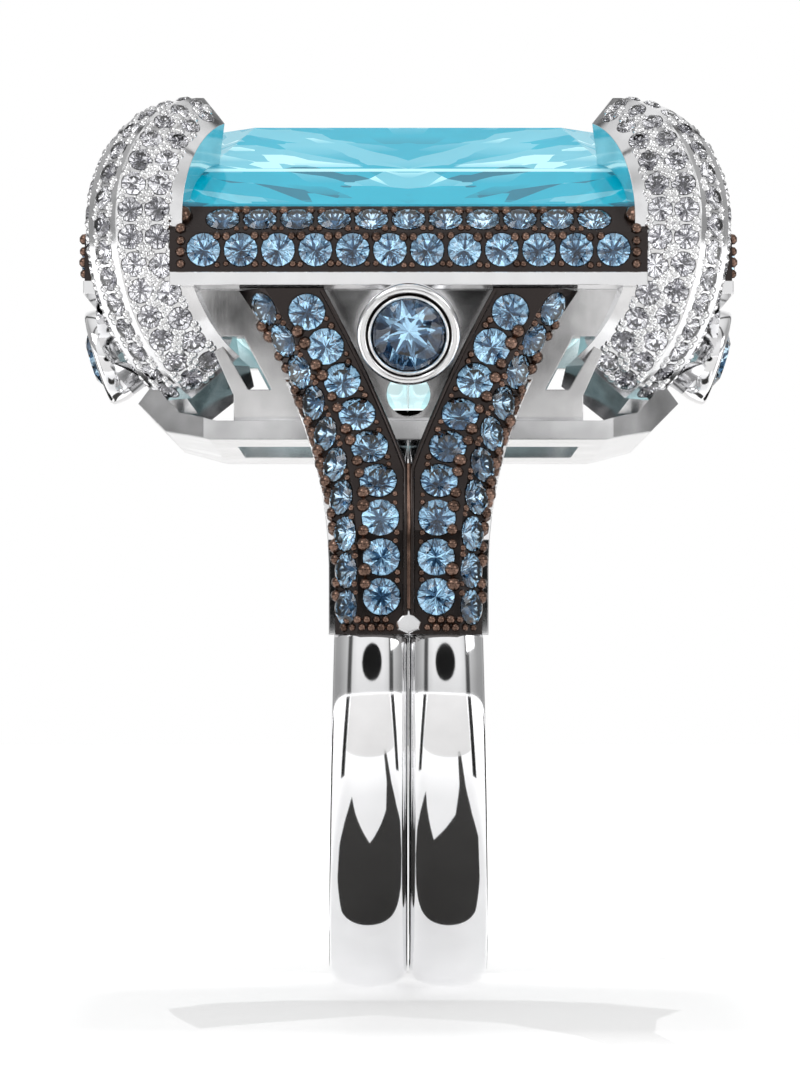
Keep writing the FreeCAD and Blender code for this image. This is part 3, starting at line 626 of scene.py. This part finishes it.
# ---- operators ----
class RING_OT_stage(bpy.types.Operator):
    """Pale floor, soft lights and the camera"""

    bl_idname = "ring.stage"
    bl_label = "Stage"

    def execute(self, context):
        make_materials()
        self.floor(CAD_BOX[0][2] - 0.01 * MM)
        self.surround()
        self.lamps()
        self.cards()
        self.camera(context)
        return {"FINISHED"}

    def floor(self, level):
        """A flat square under the ring, which glows further out so that no horizon shows."""
        half = 0.6
        material, tree, shader = new_material("pale_floor", Roughness=0.5)
        cloud = noise(tree, 40.0)
        base = tuple(colours().floor)
        tone = ramp(tree, cloud.outputs["Fac"], tuple(c * 0.99 for c in base), base)
        tree.links.new(tone, shader.inputs["Base Color"])
        shader.inputs["Emission Color"].default_value = (1, 1, 1, 1)
        place = node(tree, "ShaderNodeTexCoord")
        away = node(tree, "ShaderNodeVectorMath", operation="LENGTH")
        tree.links.new(place.outputs["Object"], away.inputs[0])
        glow = ramp(tree, away.outputs["Value"], 0.3, 1.0, 0.03, 0.12)
        tree.links.new(glow, shader.inputs["Emission Strength"])
        corners = [(-half, -half, level), (half, -half, level), (half, half, level), (-half, half, level)]
        mesh = bpy.data.meshes.new("floor")
        mesh.from_pydata(corners, [], [(0, 1, 2, 3)])
        mesh.materials.append(material)
        floor = bpy.data.objects.new("floor", mesh)
        bpy.context.scene.collection.objects.link(floor)

    def surround(self):
        """White to the camera. Reflections see a sky that dims to the sides and has dark stripes."""
        scene = bpy.context.scene
        scene.view_settings.view_transform = "Standard"
        world = scene.world or bpy.data.worlds.new("studio")
        scene.world = world
        world.use_nodes = True
        tree = world.node_tree
        tree.nodes.clear()
        axes = split_axes(tree, "Generated")
        sky = colour_ramp(tree, ramp(tree, axes["Z"], 0.0, 1.0, -1.0, 1.0), [
            (0.0, 0.5), (0.44, 0.6), (0.5, 0.8), (0.58, 0.9), (0.72, 0.95), (0.86, 0.6), (1.0, 1.0),
        ])
        across, deep = (maths(tree, "ABSOLUTE", axes[axis]) for axis in ("X", "Y"))
        dimmed = multiplied(tree, sky, ramp(tree, across, 1.0, 0.45, 0.35, 0.95))
        studio = node(tree, "ShaderNodeBackground", Strength=1.0)
        tree.links.new(self.stripes(tree, across, deep, dimmed), studio.inputs["Color"])
        plain = node(tree, "ShaderNodeBackground", Strength=1.0)
        plain.inputs["Color"].default_value = (1, 1, 1, 1)
        path = node(tree, "ShaderNodeLightPath")
        mix = node(tree, "ShaderNodeMixShader")
        out = node(tree, "ShaderNodeOutputWorld")
        tree.links.new(path.outputs["Is Camera Ray"], mix.inputs[0])
        tree.links.new(studio.outputs[0], mix.inputs[1])
        tree.links.new(plain.outputs[0], mix.inputs[2])
        tree.links.new(mix.outputs[0], out.inputs["Surface"])

    def lamps(self):
        """Three soft lamps aimed at the head. Only the top one casts a shadow, and it isn't mirrored."""
        aim_at = Vector((0, 0, 0.008))
        for name, place_at, power, width in (
            ("key", (-0.12, -0.16, 0.16), 0.10, 0.10), ("fill", (0.15, -0.14, 0.10), 0.06, 0.10),
            ("top", (0.0, 0.075, 0.2), 0.16, 0.04),
        ):
            light = bpy.data.lights.new(name, "AREA")
            light.energy = power
            light.size = width
            lamp = bpy.data.objects.new(name, light)
            lamp.location = place_at
            lamp.visible_glossy = name != "top"
            light.use_shadow = name == "top"
            lamp.rotation_euler = (aim_at - Vector(place_at)).to_track_quat("-Z", "Y").to_euler()
            bpy.context.scene.collection.objects.link(lamp)

    def stripes(self, tree, across, deep, sky):
        """Darkens four upright stripes, a little under half way round from front to side and alike behind."""
        share = maths(tree, "DIVIDE", across, maths(tree, "ADD", across, deep))
        stops = [(0.0, 1.0), (0.37, 1.0), (0.4, 0.12), (0.46, 0.12), (0.49, 0.9), (1.0, 0.9)]
        return multiplied(tree, sky, colour_ramp(tree, share, stops))

    def cards(self):
        """Cards that only reflections see: dark flames, pale panels and black wedges on the floor, before
        and behind the ring, and a black oval before the shank. Outlines are in mm."""
        black = new_material("black_card", Base_Color=(0.0, 0.0, 0.0), Roughness=1.0)[0]
        dark = new_material("dark_card", Base_Color=(0.05, 0.048, 0.046), Roughness=1.0)[0]
        pale = new_material(
            "pale_card", Base_Color=(0.0, 0.0, 0.0), Emission_Color=(1.0, 0.99, 0.98), Emission_Strength=0.78
        )[0]
        floor = CAD_BOX[0][2] + 0.02 * MM
        flame = [
            (-6.5, -7.5), (-4.0, -6.4), (4.0, -6.4), (6.5, -7.5), (9.0, -10.5), (8.0, -14.0), (7.6, -19.0),
            (9.0, -30.0), (7.2, -30.0), (5.2, -20.0), (3.0, -15.5), (-1.2, -12.4), (-4.6, -15.4),
            (-6.6, -17.5), (-7.6, -13.0), (-8.0, -10.0),
        ]
        panel = [(-18, -28), (18, -28), (250, -400), (-250, -400)]
        for name, turn in (("front", 1), ("back", -1)):
            self.card(f"flame_card_{name}", [(turn * x * MM, turn * y * MM, floor) for x, y in flame], dark)
            self.card(f"panel_card_{name}", [(turn * x * MM, turn * y * MM, floor) for x, y in panel], pale)
        oval = [
            (8.5 * math.cos(t) * MM, -40 * MM, (6.5 + 4.5 * math.sin(t)) * MM)
            for t in np.linspace(0, 2 * math.pi, 24, endpoint=False)
        ]
        self.card("oval_card", oval, black)
        far = 400
        for name, near, start, end in (("front", 24, 34, 43), ("back", 17, 112, 148)):
            for hand, side in (("left", -1), ("right", 1)):
                wedge = []
                for reach, turn in ((near, start), (far, start), (far, end), (near, end)):
                    angle = math.radians(turn)
                    wedge.append((side * reach * math.sin(angle) * MM, -reach * math.cos(angle) * MM, floor))
                self.card(f"wedge_card_{name}_{hand}", wedge, black)

    def card(self, name, points, material):
        """One flat card, hidden from everything but reflections."""
        mesh = bpy.data.meshes.new(name)
        mesh.from_pydata(points, [], [tuple(range(len(points)))])
        mesh.materials.append(material)
        card = bpy.data.objects.new(name, mesh)
        card.visible_camera = False
        card.visible_diffuse = False
        card.visible_shadow = False
        card.visible_transmission = False
        bpy.context.scene.collection.objects.link(card)

    def camera(self, context):
        """In front of the ring, level with the finger hole and tipped up a little."""
        eye_x, eye_y, tip = -0.29 * MM, -140 * MM, 2.28
        data = bpy.data.cameras.new("camera")
        data.lens = sizes().lens
        data.sensor_fit = "VERTICAL"
        data.sensor_height = 36
        data.clip_start = 0.001
        camera = bpy.data.objects.new("camera", data)
        camera.location = (eye_x, eye_y, 0)
        camera.rotation_euler = (math.radians(90 + tip), 0, 0)
        context.scene.collection.objects.link(camera)
        context.scene.camera = camera


class RING_OT_shank(bpy.types.Operator):
    """The two half-round bands of the shank"""

    bl_idname = "ring.shank"
    bl_label = "Shank"

    def execute(self, context):
        for hand, side in (("left", -1), ("right", 1)):
            self.band(f"shank_band_{hand}", side)
        return {"FINISHED"}

    def section(self, half, crown, edge, inner):
        """Closed section of a band as (x, radius): a flattened half-ellipse over an inner wall, edges eased.

        The gap is kept free between the two bands."""
        gap = 0.03 * MM
        turn = np.linspace(0, np.pi, 33)
        middle, wide = (half + gap) / 2, (half - gap) / 2
        arch_x = middle + wide * np.cos(turn)
        arch_r = edge + (crown - edge) * np.abs(np.sin(turn)) ** 0.85
        ease = 0.12 * MM
        wall_x = np.array([gap, gap + ease * 0.3, gap + ease, half - ease, half - ease * 0.3, half])
        wall_r = inner + np.array([ease, ease * 0.3, 0, 0, ease * 0.3, ease])
        return np.concatenate([arch_x, wall_x]), np.concatenate([arch_r, wall_r])

    def band(self, name, side):
        """The section carried round X: full below the colour break, a thin liner above it."""
        low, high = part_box(name)
        crown = high.y
        foot = max(abs(low.x), abs(high.x))
        start = math.asin(BREAK_HEIGHT / crown)
        steps = sizes().band_steps
        below = np.linspace(-start, np.pi + start, steps)
        above = np.linspace(np.pi + start, 2 * np.pi - start, steps // 2)
        angles = np.concatenate([below, above])
        full = np.r_[np.ones(len(below), bool), np.zeros(len(above), bool)]
        height = -np.sin(angles) * crown
        rise = np.clip((height + crown) / (BREAK_HEIGHT + crown), 0, 1)
        half = foot + (BREAK_HALF_WIDTH - foot) * rise
        band, liner = (
            np.array([self.section(value, *radii, FINGER_RADIUS) for value in half])
            for radii in ((crown, BAND_EDGE), (LINER_CROWN, LINER_EDGE))
        )
        sections = np.where(full[:, None, None], band, liner)
        x, r = sections[:, 0], sections[:, 1]
        y = -r * np.cos(angles)[:, None]
        z = -r * np.sin(angles)[:, None]
        grid = np.stack([side * x, y, z], axis=-1)
        faces = ring_faces(*x.shape, closed=True)
        if side < 0:
            faces = [face[::-1] for face in faces]
        piece = new_piece(name + "_polished", grid.reshape(-1, 3), faces, MATERIALS["silver"], smooth=40)
        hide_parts(name)


class RING_OT_gallery(bpy.types.Operator):
    """Rails and shoulders in bright silver; tray, walls and seat frame in a softer polish, darkened in broad
    patches as painted dark reflections
    """

    bl_idname = "ring.gallery"
    bl_label = "Gallery"

    def execute(self, context):
        dress([f"rail_{s}" for s in SIDES] + [f"shoulder_{c}" for c in CORNERS], "silver")
        dress(["gallery_tray", "seat_frame"] + [f"gallery_wall_{s}" for s in SIDES], "gallery_silver")
        return {"FINISHED"}


class RING_OT_set_metal(bpy.types.Operator):
    """The stone-set arms, bars and claws, with their seats"""

    bl_idname = "ring.set_metal"
    bl_label = "Set metal"

    def execute(self, context):
        dress([f"pave_arm_{c}" for c in CORNERS] + [f"pave_bar_{s}" for s in SIDES], "rhodium")
        dress([f"corner_claw_{c}" for c in CORNERS], "set_silver")
        return {"FINISHED"}


class RING_OT_melee(bpy.types.Operator):
    """The small faceted stones of the arms, bars and claws"""

    bl_idname = "ring.melee"
    bl_label = "Small stones"

    def execute(self, context):
        groups = [(f"arm_stones_{c}", "blue") for c in CORNERS] + [(f"bar_stones_{s}", "blue") for s in SIDES]
        groups += [(f"claw_stones_{c}", "white") for c in CORNERS]
        for seed, (name, kind) in enumerate(groups):
            spots = stone_spots(name)
            piece = stone_piece(name + "_faceted", spots, kind + "_front", kind + "_back", seed)
            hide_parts(name)
        return {"FINISHED"}


class RING_OT_beads(bpy.types.Operator):
    """The beads of metal raised between the small stones to hold them"""

    bl_idname = "ring.beads"
    bl_label = "Beads"

    def execute(self, context):
        # Patterns: places across and along in stone radii, and the bead's radius. Upward or outward is +.
        large, small = sizes().bead, sizes().bead * 0.62
        bar = [(0.78, side * 0.3, large * 0.85) for side in (-1, 1)]
        bar += [(-0.86, side * 0.24, small) for side in (-1, 1)]
        arm = [(0.86, side * 0.38, large * 1.15) for side in (-1, 1)]
        arm += [(-0.8, -0.2, small), (-0.8, 0.22, small)]
        claw = [(side * 0.8, along, sizes().claw_bead) for side in (-1, 1) for along in (-0.3, 0.3)]
        upward = [[0, 0, 1]]
        for seed, side in enumerate(SIDES):
            stones = f"bar_stones_{side}"
            piece = bead_piece(f"bar_beads_{side}", stones, "rhodium_bead", upward, bar, 40 + seed)
        for seed, corner in enumerate(CORNERS):
            stones = f"arm_stones_{corner}"
            piece = bead_piece(f"arm_beads_{corner}", stones, "rhodium_bead", "outward", arm, 50 + seed)
            stones = f"claw_stones_{corner}"
            piece = bead_piece(f"claw_beads_{corner}", stones, "set_silver", "outward", claw, 60 + seed)
        return {"FINISHED"}


class RING_OT_bar_ends(bpy.types.Operator):
    """A knob at each end of a bar, with small beads down the end below it"""

    bl_idname = "ring.bar_ends"
    bl_label = "Bar ends"

    def execute(self, context):
        # How far each bead stands out from the bar's face, its height and its radius, in mm.
        beads = [
            (-0.62, 16.12, 0.4), (0.02, 15.62, 0.2), (0.04, 15.2, 0.17), (0.04, 14.82, 0.19),
            (0.02, 14.42, 0.17),
        ]
        # The turn about Z, in degrees, then how far away and how long the bar is, in mm.
        long_bar, short_bar = (8.7, 7.72), (11.2, 5.5)
        shape, faces = bead_shape()
        for side, turn, (reach, half) in (
            ("front", 0, long_bar), ("right", 90, short_bar), ("back", 180, long_bar),
            ("left", 270, short_bar),
        ):
            places = np.array([(end * half, -reach - out, z) for end in (-1, 1) for out, z, radius in beads])
            cos, sin = math.cos(math.radians(turn)), math.sin(math.radians(turn))
            rotation = np.array([[cos, sin, 0], [-sin, cos, 0], [0, 0, 1]])
            places = places @ rotation
            normals = np.tile([[0.0, -1.0, 0.35]], (len(places), 1)) @ rotation
            normals /= np.linalg.norm(normals, axis=1, keepdims=True)
            scales = np.tile([radius for out, z, radius in beads], 2) * MM
            firsts, seconds = axes_of(normals)
            points, all_faces = copies(shape, faces, places * MM, firsts, seconds, normals, scales)
            name = f"bar_end_beads_{side}"
            piece = new_piece(name, points, all_faces, MATERIALS["rhodium_bead"], smooth=80)
        return {"FINISHED"}


def arm_front(heights):
    """Distance of an arm's face from the middle, in mm: upright, then leaning in along a smooth step."""
    lean = np.clip((heights - LEAN_FROM) / LEAN_HEIGHT, 0, 1)
    return ARM_FRONT - ARM_LEAN * lean**2 * (3 - 2 * lean)


class RING_OT_arm_rims(bpy.types.Operator):
    """Fine raised lines on the arms' inner edges and between them, with a plate and beads at the foot"""

    bl_idname = "ring.arm_rims"
    bl_label = "Arm rims"

    def execute(self, context):
        # An arm's inner edge opens out above the crotch, slowly at first, and the line is set in from it.
        heights = np.linspace(2.5, 13.55, 60)
        rise = np.clip(heights - CROTCH, 0, None)
        inset = 0.09
        inner = 0.03 + 0.36 * rise + 0.016 * rise**2 + inset
        front = arm_front(heights)
        for corner in CORNERS:
            y_sign = -1 if "front" in corner else 1
            x_sign = -1 if "left" in corner else 1
            path = np.stack([x_sign * inner, y_sign * front, heights], axis=1) * MM
            self.line(f"arm_rim_{corner}", path, "rhodium")
        for facing, y_sign in (("front", -1), ("back", 1)):
            self.plate(facing, y_sign)
            self.centre_line(facing, y_sign)
            self.foot_beads(facing, y_sign)
        return {"FINISHED"}

    def line(self, name, path, material):
        """A fine raised line along a path."""
        points, faces = tube(path, sizes().rim)
        piece = new_piece(name, points, faces, MATERIALS[material], smooth=60)
        self.outward(piece)

    def centre_line(self, facing, y_sign):
        """The raised line where two arms meet, from the plate up to the crotch."""
        heights = np.linspace(2.7, 7.55, 24)
        path = np.stack([0 * heights, y_sign * arm_front(heights), heights], axis=1) * MM
        self.line(f"centre_line_{facing}", path, "rhodium_bead")

    def foot_beads(self, facing, y_sign):
        """Two rows of small beads across the arms, just above the plain bands, staggered by half a bead.

        Past the corner of the arm's face they follow the bevel back."""
        across = np.array([0.62, 0.92, 1.24, 1.55, 1.86, 2.14])
        stagger, low_row, high_row, face, corner, bevel = 0.15, 2.08, 2.34, 10.68, 1.7, 1.25
        x = np.concatenate([-across, across, -across[:-1] - stagger, across[:-1] + stagger])
        low_count = 2 * len(across)
        z = np.where(np.arange(len(x)) < low_count, low_row, high_row)
        places = np.stack([x, np.full(len(x), y_sign * face), z], axis=1) * MM
        places[:, 1] -= y_sign * np.clip(np.abs(x) - corner, 0, None) * bevel * MM
        normals = np.tile([[0.0, float(y_sign), 0.0]], (len(x), 1))
        firsts, seconds = axes_of(normals)
        shape, faces = bead_shape()
        scales = np.random.default_rng(7).uniform(0.13, 0.18, len(x)) * MM
        points, all_faces = copies(shape, faces, places, firsts, seconds, normals, scales)
        piece = new_piece(f"foot_beads_{facing}", points, all_faces, MATERIALS["rhodium_bead"], smooth=80)

    def plate(self, facing, y_sign):
        """A low six-sided plate, point up: its face is its foot shrunk about the middle, and leans back."""
        outline = np.array([(0, 2.75), (-0.5, 2.25), (-0.42, 1.95), (0, 1.8), (0.42, 1.95), (0.5, 2.25)])
        middle, shrink, lowest, back, front, slope = 2.25, 0.75, 1.8, 10.62, 10.82, 0.17
        count = len(outline)
        base = np.stack([outline[:, 0], np.full(count, y_sign * back), outline[:, 1]], axis=1)
        height = (outline[:, 1] - middle) * shrink + middle
        depth = y_sign * (front - slope * (height - lowest))
        points = np.vstack([base, np.stack([outline[:, 0] * shrink, depth, height], axis=1)]) * MM
        faces = ring_faces(2, count) + [list(range(count))[::-1], list(range(count, 2 * count))]
        # The plate takes the gallery's silver, whose broad dark patches are painted dark reflections.
        piece = new_piece(f"shank_plate_{facing}", points, faces, MATERIALS["gallery_silver"])
        self.outward(piece)

    def outward(self, piece):
        """Turns every face of a closed mesh outward."""
        work = bmesh.new()
        work.from_mesh(piece.data)
        bmesh.ops.recalc_face_normals(work, faces=work.faces)
        work.to_mesh(piece.data)
        work.free()


class RING_OT_bezels(bpy.types.Operator):
    """The four bezel cups and their round stones"""

    bl_idname = "ring.bezels"
    bl_label = "Bezels"

    def execute(self, context):
        for seed, side in enumerate(SIDES):
            spots = stone_spots(f"bezel_stone_{side}")
            name = f"bezel_stone_{side}_faceted"
            stone = stone_piece(name, spots, "blue_front", "blue_back", 20 + seed, fan=True)
            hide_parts(f"bezel_stone_{side}")
            self.cup(side, spots)
        return {"FINISHED"}

    def cup(self, side, spots):
        """A turned cup: two rounded steps round the stone, with a dark groove between, tapering to the back.

        The outline is (radius, height) in mm from the stone's girdle."""
        arc = np.linspace(0, np.pi, 9)

        def bump(centre, half, rise, base):
            return np.stack([centre + half * np.cos(arc), base + rise * np.sin(arc)], axis=1)

        outline = np.vstack([
            [[0, -2.0], [1.1, -2.0], [1.2, -1.95], [1.7, -0.6], [1.74, -0.3]],
            bump(1.565, 0.175, 0.16, -0.12), [[1.38, -0.3]], bump(1.32, 0.055, 0.07, 0.0),
            [[1.26, -0.1], [0, -1.2]],
        ])
        points, faces = turned_surface(outline * MM, 96)
        centre, normal = (part[:1] for part in spots[:2])
        centre = centre + normal * 0.1 * MM
        firsts, seconds = axes_of(normal)
        reach = np.hypot(points[:, 0], points[:, 1]) / MM
        groove = [1.35 < np.mean(reach[face]) < 1.4 and points[face[0], 2] > -1.0 * MM for face in faces]
        placed, faces = copies(points, faces, centre, firsts, seconds, normal, np.ones(1))
        piece = new_piece(
            f"bezel_cup_{side}_polished", placed, faces, MATERIALS["silver"], smooth=50,
            materials=[MATERIALS["rhodium"]], face_material=groove,
        )
        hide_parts(f"bezel_cup_{side}")


class RING_OT_centre_stone(bpy.types.Operator):
    """The long step-cut centre stone"""

    bl_idname = "ring.centre_stone"
    bl_label = "Centre stone"

    # Steps in each side of the outline, from the right-hand end anticlockwise.
    STEPS = (4, 1, 6, 1, 4, 1, 6, 1)

    def execute(self, context):
        # Each tier is half length, half depth, corner cut and height, in mm.
        low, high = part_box("centre_stone")
        half_x, half_y = high.x / MM, high.y / MM
        girdle, table, keel = 16.45, high.z / MM, low.z / MM
        crown = [
            (half_x, half_y, 2.0, girdle + 0.15), (0.86 * half_x, 0.77 * half_y, 1.7, 18.1),
            (0.66 * half_x, 0.47 * half_y, 1.2, table),
        ]
        back = [
            (half_x, half_y, 2.0, girdle - 0.15), (0.84 * half_x, 0.78 * half_y, 1.6, 14.9),
            (0.6 * half_x, 0.46 * half_y, 1.0, 12.6), (0.27 * half_x, 0.05 * half_y, 0.1, keel),
        ]
        rings = [self.outline(*tier) for tier in crown]
        count = len(rings[0])
        backs = [self.outline(*tier) for tier in back]
        # Every other tier of the back is turned half a step, which makes its facets slant.
        for k in (1, 3):
            backs[k] = (backs[k] + np.roll(backs[k], -1, axis=0)) / 2
        points = np.vstack(rings + backs) * MM
        j = np.arange(count)
        n = (j + 1) % count
        faces = []
        for a, b in ((0, 1), (1, 2)):
            faces += self.sides(a * count, b * count)
        faces.append((2 * count + j).tolist())
        below = 3 * count
        faces += np.stack([below + j, below + n, n, j], axis=1).tolist()
        for ring in range(3):
            upper, lower = below + ring * count, below + (ring + 1) * count
            if ring % 2 == 0:
                faces += np.stack([upper + n, upper + j, lower + j], axis=1).tolist()
                faces += np.stack([upper + n, lower + j, lower + n], axis=1).tolist()
            else:
                faces += np.stack([upper + j, lower + j, lower + n], axis=1).tolist()
                faces += np.stack([upper + j, lower + n, upper + n], axis=1).tolist()
        faces.append((below + 3 * count + j[::-1]).tolist())
        behind = np.array([min(face) >= 3 * count for face in faces])
        piece = new_piece(
            "centre_stone_cut", points, faces, MATERIALS["aqua_front"], materials=[MATERIALS["aqua_back"]],
            face_material=behind,
        )
        # Random brightness by facet on the back: painted light and painted shade.
        bright_facets(piece, np.random.default_rng(80).uniform(0, 1, len(faces)))
        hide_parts("centre_stone")
        return {"FINISHED"}

    def sides(self, lower, upper):
        """The eight flat sides of a step, each one face over the outline's points."""
        faces = []
        start, count = 0, sum(self.STEPS)
        for steps in self.STEPS:
            span = [start + k for k in range(steps + 1)]
            faces.append([lower + k % count for k in span] + [upper + k % count for k in reversed(span)])
            start += steps
        return faces

    def outline(self, half_x, half_y, corner, z):
        """A rectangle with cut corners, anticlockwise from above, each side divided into its steps."""
        corners = np.array([
            (half_x, corner - half_y), (half_x, half_y - corner), (half_x - corner, half_y),
            (corner - half_x, half_y), (-half_x, half_y - corner), (-half_x, corner - half_y),
            (corner - half_x, -half_y), (half_x - corner, -half_y),
        ])
        after = np.roll(corners, -1, axis=0)
        spans = [
            start + (end - start) * np.linspace(0, 1, steps, endpoint=False)[:, None]
            for start, end, steps in zip(corners, after, self.STEPS)
        ]
        flat = np.vstack(spans)
        return np.column_stack([flat, np.full(len(flat), z)])


OPERATORS = (
    RING_OT_stage, RING_OT_shank, RING_OT_gallery, RING_OT_set_metal, RING_OT_melee, RING_OT_beads,
    RING_OT_bar_ends, RING_OT_arm_rims, RING_OT_bezels, RING_OT_centre_stone,
)


class RING_PT_panel(bpy.types.Panel):
    """The ring's pieces"""

    bl_idname = "RING_PT_panel"
    bl_label = "Cocktail ring"
    bl_space_type = "VIEW_3D"
    bl_region_type = "UI"
    bl_category = "Ring"

    def draw(self, context):
        for operator in OPERATORS:
            self.layout.operator(operator.bl_idname)
        for group in (context.scene.ring_sizes, context.scene.ring_colours):
            for name in group.bl_rna.properties.keys()[1:]:
                self.layout.prop(group, name)


CLASSES = (RingSizes, RingColours, *OPERATORS, RING_PT_panel)


def register():
    for item in CLASSES:
        bpy.utils.register_class(item)
    bpy.types.Scene.ring_sizes = PointerProperty(type=RingSizes)
    bpy.types.Scene.ring_colours = PointerProperty(type=RingColours)


def unregister():
    del bpy.types.Scene.ring_colours
    del bpy.types.Scene.ring_sizes
    for item in reversed(CLASSES):
        bpy.utils.unregister_class(item)


def main():
    """Makes every piece in order."""
    register()
    for operator in OPERATORS:
        group, action = operator.bl_idname.split(".")
        getattr(getattr(bpy.ops, group), action)()
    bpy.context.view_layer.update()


if __name__ == "__main__":
    main()
